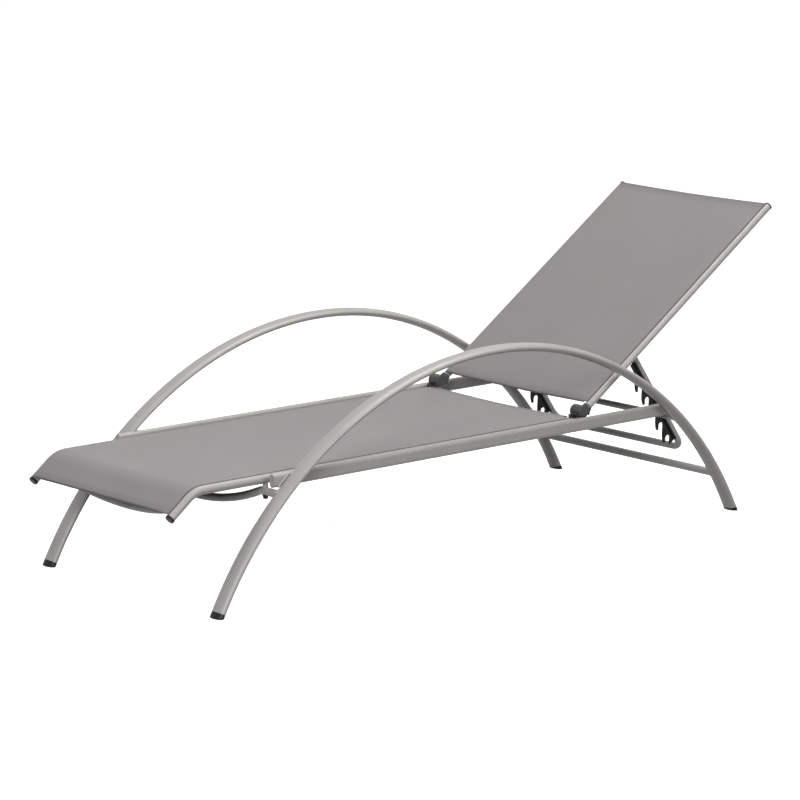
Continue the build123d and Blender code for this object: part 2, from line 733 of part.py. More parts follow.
# Front crossbar: level where it meets the arches and the seat rails, bowed down in between
with BuildPart() as front_crossbar:
    with BuildLine(Plane.YZ.offset(front_bar_x)):
        bow_angle = 2 * math.degrees(math.atan(front_bar_drop / front_bar_half_bow))
        bow_radius = front_bar_half_bow / math.sin(math.radians(bow_angle)) - front_bar_shoulder_radius
        Line((-arch_y, front_bar_height), (-front_bar_half_bow, front_bar_height))
        CenterArc(
            (-front_bar_half_bow, front_bar_height - front_bar_shoulder_radius),
            front_bar_shoulder_radius,
            90,
            -bow_angle,
        )
        CenterArc((0, front_bar_height - front_bar_drop + bow_radius), bow_radius, 270 - bow_angle, 2 * bow_angle)
        CenterArc(
            (front_bar_half_bow, front_bar_height - front_bar_shoulder_radius),
            front_bar_shoulder_radius,
            90 + bow_angle,
            -bow_angle,
        )
        Line((front_bar_half_bow, front_bar_height), (arch_y, front_bar_height))
    with BuildSketch(Plane(origin=(front_bar_x, -arch_y, front_bar_height), z_dir=(0, 1, 0))):
        tube_profile(crossbar_radius, crossbar_wall)
    sweep()
    add(arch_outside_left, mode=Mode.SUBTRACT)
    add(arch_outside_right, mode=Mode.SUBTRACT)
    with Locations((front_bar_x, -seat_rail_y, front_bar_height), (front_bar_x, seat_rail_y, front_bar_height)):
        Cylinder(bolt_radius + bolt_clearance, 2 * (crossbar_radius + overrun), mode=Mode.SUBTRACT)
front_crossbar.part.label = "front_crossbar"
export_step(front_crossbar.part, "parts/front_crossbar.step")

# Toe bar: bowed, between the bent ends of the seat rails
with BuildPart() as toe_bar:
    with BuildLine(toe_plane.offset(toe_bar_toe_distance)) as toe_bar_line:
        ThreePointArc((-seat_rail_y, 0), (0, -toe_bar_bow), (seat_rail_y, 0))
    with BuildSketch(Plane(origin=toe_bar_line.line @ 0, z_dir=toe_bar_line.line % 0)):
        tube_profile(crossbar_radius, crossbar_wall)
    sweep()
    with BuildSketch(toe_plane):
        with Locations((-seat_rail_y, 0), (seat_rail_y, 0)):
            Circle(seat_rail_radius)
    extrude(amount=toe_length, mode=Mode.SUBTRACT)
toe_bar.part.label = "toe_bar"
export_step(toe_bar.part, "parts/toe_bar.step")

# Rear stretcher, low between the rear legs of the arches
with BuildPart() as rear_stretcher:
    with BuildSketch(Plane(origin=(stretcher_x, -arch_y, stretcher_height), z_dir=(0, 1, 0))):
        tube_profile(crossbar_radius, crossbar_wall)
    extrude(amount=arch_spacing)
    add(arch_outside_left, mode=Mode.SUBTRACT)
    add(arch_outside_right, mode=Mode.SUBTRACT)
rear_stretcher.part.label = "rear_stretcher"
export_step(rear_stretcher.part, "parts/rear_stretcher.step")

# Hook bar, which the racks of the stay hang on
with BuildPart() as hook_bar:
    with BuildSketch(Plane(origin=hook_bar_centre - Vector(0, arch_y, 0), z_dir=(0, 1, 0))):
        tube_profile(hook_bar_radius, hook_bar_wall)
    extrude(amount=arch_spacing)
    add(arch_outside_left, mode=Mode.SUBTRACT)
    add(arch_outside_right, mode=Mode.SUBTRACT)
hook_bar.part.label = "hook_bar"
export_step(hook_bar.part, "parts/hook_bar.step")

# Two bowed bars hold the back rails apart
for bar_name, bar_along in (("middle", back_bar_middle), ("top", back_bar_top)):
    with BuildPart() as back_bar:
        with BuildLine(back_plane.offset(bar_along)) as back_bar_line:
            ThreePointArc(
                (-seat_rail_y, -back_rail_set_back),
                (0, -back_rail_set_back - back_bar_bow),
                (seat_rail_y, -back_rail_set_back),
            )
        with BuildSketch(Plane(origin=back_bar_line.line @ 0, z_dir=back_bar_line.line % 0)):
            tube_profile(back_bar_radius, back_bar_wall)
        sweep()
        with BuildSketch(back_plane):
            with Locations((-seat_rail_y, -back_rail_set_back), (seat_rail_y, -back_rail_set_back)):
                Circle(back_rail_radius)
        extrude(amount=back_rail_end, mode=Mode.SUBTRACT)
    back_bar.part.label = "back_bar_" + bar_name
    export_step(back_bar.part, "parts/back_bar_" + bar_name + ".step")

# Stay: one tube bent to a U, drilled for the pivot bolts
with BuildPart() as stay_tube:
    with BuildLine(stay_plane) as stay_line:
        FilletPolyline(
            (-stay_top_length, -stay_y),
            (stay_length, -stay_y),
            (stay_length, stay_y),
            (-stay_top_length, stay_y),
            radius=stay_bend_radius,
        )
    with BuildSketch(Plane(origin=stay_line.line @ 0, z_dir=stay_line.line % 0)):
        tube_profile(stay_tube_radius, stay_tube_wall)
    sweep()
    with Locations(Plane(origin=stay_pivot, z_dir=(0, 1, 0))):
        Cylinder(bolt_radius, 2 * (stay_y + stay_tube_radius + overrun), mode=Mode.SUBTRACT)
stay_tube.part.label = "stay_tube"
export_step(stay_tube.part, "parts/stay_tube.step")

# Stoppers in the top ends of the stay
with BuildPart() as stay_stoppers:
    for side, side_name in sides:
        stopper_plane = Plane(
            origin=stay_pivot - stay_down * stay_top_length + Vector(0, side * stay_y, 0), z_dir=-stay_down
        )
        with BuildSketch(stopper_plane):
            Circle(stay_tube_radius)
        extrude(amount=stay_plug_flange)
        with BuildSketch(stopper_plane):
            Circle(stay_tube_radius - stay_tube_wall - cap_plug_clearance)
        extrude(amount=-stay_plug_length)
stay_stoppers.part.label = "stay_stoppers"
export_step(stay_stoppers.part, "parts/stay_stoppers.step")

# Pivot bolts of the stay, with bushes between its legs and the lugs, and nuts on the inner side
lug_outer_y = lug_inner_y + lug_thickness
with BuildPart() as stay_bolts:
    for side, side_name in sides:
        with Locations(
            Plane(
                origin=stay_pivot + Vector(0, side * (stay_y - stay_tube_radius - stay_nut_height), 0),
                z_dir=(0, side, 0),
            )
        ):
            Cylinder(
                bolt_radius,
                lug_outer_y + stay_bush_gap - stay_y + stay_tube_radius + stay_nut_height,
                align=(Align.CENTER, Align.CENTER, Align.MIN),
            )
        with Locations(
            Plane(origin=stay_pivot + Vector(0, side * (lug_outer_y + stay_bush_gap), 0), z_dir=(0, side, 0))
        ):
            Cylinder(
                stay_bolt_head_radius, stay_bolt_head_height, align=(Align.CENTER, Align.CENTER, Align.MIN)
            )
stay_bolts.part.label = "stay_bolts"
export_step(stay_bolts.part, "parts/stay_bolts.step")

with BuildPart() as stay_bushes:
    for side, side_name in sides:
        with BuildSketch(
            Plane(origin=stay_pivot + Vector(0, side * (stay_y + stay_tube_radius), 0), z_dir=(0, side, 0))
        ):
            tube_profile(stay_bush_radius, stay_bush_radius - bolt_radius)
        extrude(amount=stay_bush_length)
stay_bushes.part.label = "stay_bushes"
export_step(stay_bushes.part, "parts/stay_bushes.step")

with BuildPart() as stay_nuts:
    for side, side_name in sides:
        with BuildSketch(
            Plane(
                origin=stay_pivot + Vector(0, side * (stay_y - stay_tube_radius), 0),
                x_dir=stay_down,
                z_dir=(0, -side, 0),
            )
        ):
            RegularPolygon(stay_nut_radius, 6)
            Circle(bolt_radius, mode=Mode.SUBTRACT)
        extrude(amount=stay_nut_height)
stay_nuts.part.label = "stay_nuts"
export_step(stay_nuts.part, "parts/stay_nuts.step")

# Front fixings: spacers between crossbar and seat rails, washers and domed bolts from below
front_bolt_points = ((front_bar_x, -seat_rail_y), (front_bar_x, seat_rail_y))
with BuildPart() as front_spacers:
    with BuildSketch(Plane.XY.offset(front_bar_height)):
        with Locations(front_bolt_points):
            Circle(spacer_radius)
            Circle(bolt_radius + bolt_clearance, mode=Mode.SUBTRACT)
    extrude(amount=seat_rail_height - front_bar_height)
    with Locations(Plane(origin=(front_bar_x, 0, front_bar_height), z_dir=(0, 1, 0))):
        Cylinder(crossbar_radius, arch_spacing, mode=Mode.SUBTRACT)
    with Locations(
        Plane(origin=(front_bar_x, -seat_rail_y, seat_rail_height), z_dir=(1, 0, 0)),
        Plane(origin=(front_bar_x, seat_rail_y, seat_rail_height), z_dir=(1, 0, 0)),
    ):
        Cylinder(seat_rail_radius, 2 * (spacer_radius + overrun), mode=Mode.SUBTRACT)
front_spacers.part.label = "front_spacers"
export_step(front_spacers.part, "parts/front_spacers.step")

washer_bottom = front_bar_height - crossbar_radius - washer_thickness
with BuildPart() as front_washers:
    with BuildSketch(Plane.XY.offset(washer_bottom)):
        with Locations(front_bolt_points):
            Circle(washer_radius)
            Circle(bolt_radius + bolt_clearance, mode=Mode.SUBTRACT)
    extrude(amount=2 * washer_thickness)
    with Locations(Plane(origin=(front_bar_x, 0, front_bar_height), z_dir=(0, 1, 0))):
        Cylinder(crossbar_radius, arch_spacing, mode=Mode.SUBTRACT)
front_washers.part.label = "front_washers"
export_step(front_washers.part, "parts/front_washers.step")

with BuildPart() as front_bolts:
    with BuildSketch(Plane.XY.offset(washer_bottom)):
        with Locations(front_bolt_points):
            Circle(bolt_head_radius)
    extrude(amount=-bolt_head_height)
    fillet(front_bolts.edges().group_by(Axis.Z)[0], bolt_head_round)
    with BuildSketch(Plane.XY.offset(washer_bottom)):
        with Locations(front_bolt_points):
            Circle(bolt_radius)
    extrude(amount=seat_rail_height - seat_rail_radius + bolt_rail_grip - washer_bottom)
front_bolts.part.label = "front_bolts"
export_step(front_bolts.part, "parts/front_bolts.step")

# Side fixings: sleeves between the seat rails and the base rails, bolts from the inner side
with BuildPart() as side_spacers:
    for side, side_name in sides:
        for bolt_x in side_bolt_xs:
            with BuildSketch(Plane(origin=(bolt_x, side * seat_rail_y, side_bolt_z), z_dir=(0, side, 0))):
                tube_profile(spacer_radius, spacer_radius - bolt_radius - bolt_clearance)
            extrude(amount=base_rail_inner_y - seat_rail_y)
        with Locations(Plane(origin=(0, side * seat_rail_y, seat_rail_height), z_dir=(1, 0, 0))):
            Cylinder(seat_rail_radius, 2 * (hinge_reach + toe_length), mode=Mode.SUBTRACT)
side_spacers.part.label = "side_spacers"
export_step(side_spacers.part, "parts/side_spacers.step")

with BuildPart() as side_bolts:
    for side, side_name in sides:
        for bolt_x in side_bolt_xs:
            head_plane = Plane(
                origin=(bolt_x, side * (seat_rail_y - seat_rail_radius), side_bolt_z), z_dir=(0, -side, 0)
            )
            with BuildSketch(head_plane):
                Circle(bolt_head_radius)
            extrude(amount=side_bolt_head_height)
            with BuildSketch(head_plane):
                Circle(bolt_radius)
            extrude(amount=seat_rail_y - seat_rail_radius - base_rail_inner_y - base_rail_wall - overrun)
side_bolts.part.label = "side_bolts"
export_step(side_bolts.part, "parts/side_bolts.step")

# Hinge screws, from the side into the seat rails
with BuildPart() as hinge_screws:
    for side, side_name in sides:
        for offset in (-hinge_screw_front, hinge_screw_rear):
            head_plane = Plane(
                origin=(
                    hinge_axis.X + offset,
                    side * seat_rail_y + seat_rail_radius + hinge_foot_wall,
                    hinge_screw_height,
                ),
                z_dir=(0, 1, 0),
            )
            with BuildSketch(head_plane):
                Circle(hinge_screw_head_radius)
            extrude(amount=hinge_screw_head_depth)
            with BuildSketch(head_plane):
                Circle(hinge_screw_radius)
            extrude(amount=-hinge_foot_wall - hinge_screw_grip)
hinge_screws.part.label = "hinge_screws"
export_step(hinge_screws.part, "parts/hinge_screws.step")

# Seat cloth, notched round the hinges
with BuildPart() as seat_cloth:
    with BuildLine():
        FilletPolyline(
            toe_end + toe_direction * cloth_cut_back,
            toe_corner,
            seat_cloth_end,
            radius=toe_bend_radius,
        )
    with BuildSketch(toe_plane.offset(cloth_cut_back)):
        cloth_profile(seat_rail_radius)
    sweep()
    notch_y = seat_rail_y - hinge_back_knuckle - seat_cloth_notch_gap
    with BuildSketch(Plane.XY.offset(seat_rail_height)):
        with Locations((seat_cloth_corner.X, -notch_y)):
            Rectangle(seat_cloth_notch_length + overrun, notch_y, align=(Align.MIN, Align.MAX))
        with Locations((seat_cloth_corner.X, notch_y)):
            Rectangle(seat_cloth_notch_length + overrun, notch_y, align=(Align.MIN, Align.MIN))
    extrude(amount=2 * seat_rail_radius, mode=Mode.SUBTRACT)
seat_cloth.part.label = "seat_cloth"
export_step(seat_cloth.part, "parts/seat_cloth.step")

# Back cloth
with BuildPart() as back_cloth:
    start_point = back_point(back_cloth_start, -back_rail_set_back)
    with BuildSketch(Plane(origin=start_point, x_dir=(0, 1, 0), z_dir=back_direction)):
        cloth_profile(back_rail_radius)
    extrude(amount=back_rail_end - back_cloth_start - cloth_cut_back)
back_cloth.part.label = "back_cloth"
export_step(back_cloth.part, "parts/back_cloth.step")
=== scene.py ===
"""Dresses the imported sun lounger: coated tubes, woven cloths, moulded hinges and weld beads."""

import json
import math

import bmesh
import bpy
import mathutils
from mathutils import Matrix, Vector


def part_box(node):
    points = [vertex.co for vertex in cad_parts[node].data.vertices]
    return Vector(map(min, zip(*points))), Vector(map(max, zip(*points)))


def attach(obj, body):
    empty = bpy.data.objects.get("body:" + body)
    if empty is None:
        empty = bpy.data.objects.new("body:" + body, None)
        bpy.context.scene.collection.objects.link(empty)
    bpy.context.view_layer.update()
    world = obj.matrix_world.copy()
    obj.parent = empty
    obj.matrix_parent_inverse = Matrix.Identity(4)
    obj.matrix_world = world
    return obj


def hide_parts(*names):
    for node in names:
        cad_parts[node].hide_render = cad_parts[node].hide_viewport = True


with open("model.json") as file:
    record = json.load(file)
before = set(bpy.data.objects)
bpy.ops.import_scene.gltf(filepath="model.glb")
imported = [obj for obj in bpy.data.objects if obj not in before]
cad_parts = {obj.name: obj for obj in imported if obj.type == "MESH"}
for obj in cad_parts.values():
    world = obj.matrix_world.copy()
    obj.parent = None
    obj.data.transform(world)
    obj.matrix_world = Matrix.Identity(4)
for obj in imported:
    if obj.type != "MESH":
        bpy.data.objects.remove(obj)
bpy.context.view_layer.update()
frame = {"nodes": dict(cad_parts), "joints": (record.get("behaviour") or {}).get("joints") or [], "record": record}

bl_info = {
    "name": "Sun Lounger Finisher",
    "version": (1, 0, 0),
    "blender": (4, 5, 0),
    "location": "3D View > Sidebar > Lounger",
    "description": "Gives the sun lounger its cloth, coatings, welds and studio",
    "category": "Object",
}

# The hinge's place comes from the frame; the sizes below are the part's own, in metres
TILT = next(j for j in frame["joints"] if j["name"] == "backrest_tilt")
HINGE = Vector(TILT["pos_m"])
RAIL_Y = 0.245
ARCH_Y = 0.302
CROSSBAR_RADIUS = 0.009
HOOK_BAR_RADIUS = 0.0075

# Arches and base rails
ARCH_FRONT_SPAN = 0.787
ARCH_REAR_SPAN = 0.762
ARCH_RISE = 0.478
BASE_RAIL_OVERHANG = 0.0344

# Seat rails
SEAT_RAIL_RADIUS = 0.010
SEAT_RAIL_Z = 0.265
TOE_ANGLE = math.radians(38.0)
TOE_ALONG = Vector((math.cos(TOE_ANGLE), 0, math.sin(TOE_ANGLE)))
TOE_OUT = Vector((-TOE_ALONG.z, 0, TOE_ALONG.x))
TOE_CORNER_BACK = 1.1085
TOE_CORNER = Vector((HINGE.x - TOE_CORNER_BACK, 0, SEAT_RAIL_Z))
TOE_LENGTH = 0.0785
TOE_BEND_RADIUS = 0.065
TOE_BAR_DISTANCE = 0.0405
TOE_BAR_LEAN = math.radians(28.0)

# Back rails, their bars and the stay's lugs
BACK_ANGLE = math.radians(34.74)
BACK_ALONG = Vector((math.cos(BACK_ANGLE), 0, math.sin(BACK_ANGLE)))
BACK_OUT = Vector((-math.sin(BACK_ANGLE), 0, math.cos(BACK_ANGLE)))
BACK_RAIL_RADIUS = 0.009
BACK_RAIL_SET_BACK = 0.0143
BACK_BAR_RADIUS = 0.008
BACK_BAR_PLACES = (0.275, 0.700)
BACK_BAR_LEAN = math.radians(20.8)
LUG_ALONG = 0.2253
LUG_WELD_LENGTH = 0.024
LUG_INSET = 0.0090
LUG_WELD_RISE = 0.0026

# Weld beads: points of a ring, how far back its rays start and how far they search, the crossings
RING_POINTS = 48
WELD_BACKED = 0.025
WELD_SEARCH = 0.08
CROSSING_POINTS = 19
CROSSING_SHIFT = 0.0080
CROSSING_OUT = 0.0018
CROSSING_END_GAP = 0.0015
CROSSING_SWELL = 1.9
LUG_POINTS = 12
BACK_BEAD_SHARE = 0.85

# Cloths: where they start and end, how far a hem reaches out, and the seat's notched rear corners
TOE_CUT_BACK = 0.001
SEAT_REAR_GAP = 0.009
SEAT_NOTCH_LENGTH = 0.014
SEAT_NOTCH_Y = 0.222
SEAT_HEM_REACH = 0.222
SEAT_TOE_BOW = 0.0042
BACK_CLOTH_START = 0.035
BACK_CLOTH_END = 0.7435
BACK_HEM_REACH = 0.2335
BOW_FADE = 0.05
CLOTH_SLACK = 0.0005
STITCH_PITCH = 0.0042
CLOTH_COLUMNS = (
    0.2325, 0.221, 0.205, 0.19, 0.172, 0.154, 0.136, 0.118,
    0.1, 0.082, 0.064, 0.046, 0.03, 0.015, 0.0,
)

# Studio: floor, world, lamps as (name, place, side, power, colour), camera
FLOOR_GREY, FLOOR_SEEN, FLOOR_GLOW = 0.08, 0.55, 0.88
SKY_LOW, SKY_RISE = 0.09, 0.28
LAMP_AIM = Vector((0, 0, 0.3))
LAMPS = (
    ("key_lamp", (1.3, -0.5, 5.2), 2.6, 235.0, (1.0, 0.99, 0.98)),
    ("front_lamp", (-4.8, -3.0, 2.6), 2.4, 245.0, (1.0, 1.0, 1.0)),
    ("side_lamp", (1.0, -5.5, 2.5), 2.4, 125.0, (1.0, 1.0, 1.0)),
)
# Along X the front feet stand FRONT_FOOT_BACK before the hinge, the camera CAMERA_BACK before them
FRONT_FOOT_BACK = 1.096
CAMERA_BACK, CAMERA_Y, CAMERA_Z = 4.5439, -6.1309, 1.9466
CAMERA_YAW, CAMERA_PITCH = 0.8565378309838336, 0.19776194285427753
CAMERA_LENS, CAMERA_SENSOR = 163.28, 36.0


class LoungerColours(bpy.types.PropertyGroup):
    """Colours of the lounger's finishes"""

    coat: bpy.props.FloatVectorProperty(
        name="Frame coat",
        description="Powder coat of all the tubes",
        subtype="COLOR",
        default=(0.282, 0.274, 0.262),
    )
    cloth: bpy.props.FloatVectorProperty(
        name="Cloth",
        description="Main yarn of the woven cloth",
        subtype="COLOR",
        default=(0.218, 0.206, 0.208),
    )
    cloth_dark: bpy.props.FloatVectorProperty(
        name="Cloth shade",
        description="Darker yarn of the woven cloth",
        subtype="COLOR",
        default=(0.162, 0.153, 0.155),
    )
    plastic: bpy.props.FloatVectorProperty(
        name="Caps",
        description="Black plastic of the caps",
        subtype="COLOR",
        default=(0.012, 0.012, 0.013),
    )
    hinge: bpy.props.FloatVectorProperty(
        name="Hinges",
        description="Charcoal plastic of the hinges",
        subtype="COLOR",
        default=(0.022, 0.022, 0.024),
    )
    rack: bpy.props.FloatVectorProperty(
        name="Racks",
        description="Black coat of the notched racks",
        subtype="COLOR",
        default=(0.012, 0.012, 0.012),
    )
    zinc: bpy.props.FloatVectorProperty(
        name="Fasteners",
        description="Zinc of bolts and nuts",
        subtype="COLOR",
        default=(0.50, 0.50, 0.49),
    )


class LoungerSizes(bpy.types.PropertyGroup):
    """Sizes of what is added to the frame"""

    cloth_thickness: bpy.props.FloatProperty(
        name="Cloth thickness",
        description="Thickness of the woven cloth",
        unit="LENGTH",
        default=0.001,
    )
    seat_sag: bpy.props.FloatProperty(
        name="Seat sag",
        description="How far the seat cloth dips between the rails",
        unit="LENGTH",
        default=0.005,
    )
    back_sag: bpy.props.FloatProperty(
        name="Back sag",
        description="How far the back cloth dips between the rails",
        unit="LENGTH",
        default=0.004,
    )
    hem_depth: bpy.props.FloatProperty(
        name="Hem",
        description="Width of the folded hems",
        unit="LENGTH",
        default=0.022,
    )
    bead_radius: bpy.props.FloatProperty(
        name="Weld bead",
        description="Radius of the weld beads",
        unit="LENGTH",
        default=0.0016,
    )
    yarn: bpy.props.FloatProperty(
        name="Yarn",
        description="Width of one yarn of the cloth",
        unit="LENGTH",
        default=0.0011,
    )
    floor_size: bpy.props.FloatProperty(
        name="Floor",
        description="Side of the studio floor",
        unit="LENGTH",
        default=60.0,
    )


def colours():
    return bpy.context.scene.lounger_colours


def sizes():
    return bpy.context.scene.lounger_sizes


def rgba(colour):
    return (colour[0], colour[1], colour[2], 1.0)


def bare_material(name):
    """A new material with its output and one Principled shader."""
    material = bpy.data.materials.new(name)
    material.use_nodes = True
    shader = material.node_tree.nodes["Principled BSDF"]
    return material, material.node_tree, shader


def add_node(tree, kind, **settings):
    node = tree.nodes.new(kind)
    for key, value in settings.items():
        if key in node.inputs:
            node.inputs[key].default_value = value
        else:
            setattr(node, key, value)
    return node


def noise(tree, vector, scale, detail, roughness=0.55):
    node = add_node(tree, "ShaderNodeTexNoise", Scale=scale, Detail=detail, Roughness=roughness)
    tree.links.new(vector, node.inputs["Vector"])
    return node.outputs["Fac"]


def ramp(tree, factor, stops):
    node = tree.nodes.new("ShaderNodeValToRGB")
    tree.links.new(factor, node.inputs["Fac"])
    elements = node.color_ramp.elements
    elements[0].position, elements[0].color = stops[0][0], rgba(stops[0][1])
    elements[1].position, elements[1].color = stops[-1][0], rgba(stops[-1][1])
    for place, colour in stops[1:-1]:
        element = elements.new(place)
        element.color = rgba(colour)
    return node.outputs["Color"]


def grey(value):
    return (value, value, value)


def maths(tree, operation, first, second=None, third=None):
    node = tree.nodes.new("ShaderNodeMath")
    node.operation = operation
    for socket, value in zip(node.inputs, (first, second, third)):
        if value is None:
            continue
        if isinstance(value, (int, float)):
            socket.default_value = value
        else:
            tree.links.new(value, socket)
    return node.outputs[0]


def mix(tree, factor, first, second, blend="MIX"):
    node = tree.nodes.new("ShaderNodeMix")
    node.data_type = "RGBA"
    node.blend_type = blend
    sockets = (node.inputs["Factor"], node.inputs[6], node.inputs[7])
    for socket, value in zip(sockets, (factor, first, second)):
        if isinstance(value, (int, float)):
            socket.default_value = value
        elif isinstance(value, tuple):
            socket.default_value = rgba(value)
        else:
            tree.links.new(value, socket)
    return node.outputs[2]


def bump(tree, shader, height, distance, strength):
    node = add_node(tree, "ShaderNodeBump", Strength=strength, Distance=distance)
    tree.links.new(height, node.inputs["Height"])
    tree.links.new(node.outputs["Normal"], shader.inputs["Normal"])


def ray_masks(tree):
    """Masks for the camera's own rays and for rays mirrored or passed on by the object."""
    path = tree.nodes.new("ShaderNodeLightPath")
    glossy, passed = path.outputs["Is Glossy Ray"], path.outputs["Is Transmission Ray"]
    return path.outputs["Is Camera Ray"], maths(tree, "MAXIMUM", glossy, passed)


def times(tree, first, second):
    return maths(tree, "MULTIPLY", first, second)


def mottle(tree, place, scale, detail, low, high, roughness=0.55):
    """A noise spread over a ramp; low and high are each (place on the ramp, colour)."""
    return ramp(tree, noise(tree, place, scale, detail, roughness), (low, high))


def object_place(tree):
    return tree.nodes.new("ShaderNodeTexCoord").outputs["Object"]


def toned(colour, share):
    return tuple(c * share for c in colour[:3])


def edge_wear(tree, place):
    """A mask that is near one along sharp edges, broken up by a noise."""
    geometry = tree.nodes.new("ShaderNodeNewGeometry")
    rim = ramp(tree, geometry.outputs["Pointiness"], ((0.52, grey(0)), (0.60, grey(1))))
    broken = mottle(tree, place, 160.0, 5.0, (0.48, grey(0)), (0.62, grey(1)))
    return times(tree, rim, broken)


def powder_coat(name, colour, depth=1.0, gloss=0.5):
    """Satin powder coat: fine orange peel, faint flake, small scuffs and rubbed edges."""
    material, tree, shader = bare_material(name)
    place = object_place(tree)
    cloudy = mottle(tree, place, 9.0, 4.0, (0.35, toned(colour, 0.97)), (0.65, toned(colour, 1.03)))
    flake = mottle(tree, place, 2600.0, 1.0, (0.40, grey(0.86)), (0.72, grey(1.12)))
    base = mix(tree, 0.55, cloudy, flake, "MULTIPLY")
    scuffs = mottle(tree, place, 60.0, 8.0, (0.66, grey(0)), (0.74, grey(1)), 0.7)
    base = mix(tree, times(tree, scuffs, 0.10), base, toned(colour, 0.62))
    base = mix(tree, times(tree, edge_wear(tree, place), 0.30), base, toned(colour, 1.28))
    tree.links.new(base, shader.inputs["Base Color"])
    rough = mottle(tree, place, 38.0, 5.0, (0.3, grey(0.38)), (0.7, grey(0.44)))
    tree.links.new(rough, shader.inputs["Roughness"])
    shader.inputs["Specular IOR Level"].default_value = gloss
    peel = noise(tree, place, 620.0, 2.0)
    bump(tree, shader, peel, 0.00012 * depth, 0.5)
    return material


def moulded_plastic(name, colour, rough_low, rough_high, grain, gloss=0.3):
    """Moulded plastic with a fine spark-eroded grain, dust and paler rubbed edges."""
    material, tree, shader = bare_material(name)
    place = object_place(tree)
    cloudy = mottle(tree, place, 30.0, 4.0, (0.35, toned(colour, 0.85)), (0.7, toned(colour, 1.25)))
    base = mix(tree, times(tree, edge_wear(tree, place), 0.5), cloudy, toned(colour, 3.2))
    dust = mottle(tree, place, 220.0, 6.0, (0.60, grey(0)), (0.80, grey(1)), 0.7)
    base = mix(tree, times(tree, dust, 0.05), base, grey(0.25))
    tree.links.new(base, shader.inputs["Base Color"])
    rough = mottle(tree, place, 90.0, 5.0, (0.3, grey(rough_low)), (0.7, grey(rough_high)))
    tree.links.new(rough, shader.inputs["Roughness"])
    shader.inputs["Specular IOR Level"].default_value = gloss
    bump(tree, shader, noise(tree, place, 1400.0, 2.0), grain, 0.5)
    return material


def zinc_plate(name, colour):
    """Dull zinc plating with a spangled tone and some dirt."""
    material, tree, shader = bare_material(name)
    place = object_place(tree)
    spangle = add_node(tree, "ShaderNodeTexVoronoi", Scale=420.0)
    tree.links.new(place, spangle.inputs["Vector"])
    cells = ((0.0, toned(colour, 0.82)), (0.8, toned(colour, 1.12)))
    tone = ramp(tree, spangle.outputs["Distance"], cells)
    dirt = mottle(tree, place, 120.0, 6.0, (0.58, grey(0)), (0.75, grey(1)))
    base = mix(tree, times(tree, dirt, 0.35), tone, toned(colour, 0.42))
    tree.links.new(base, shader.inputs["Base Color"])
    rough = mottle(tree, place, 200.0, 4.0, (0.3, grey(0.28)), (0.7, grey(0.46)))
    tree.links.new(rough, shader.inputs["Roughness"])
    shader.inputs["Metallic"].default_value = 0.9
    bump(tree, shader, noise(tree, place, 1800.0, 2.0), 0.00005, 0.4)
    return material


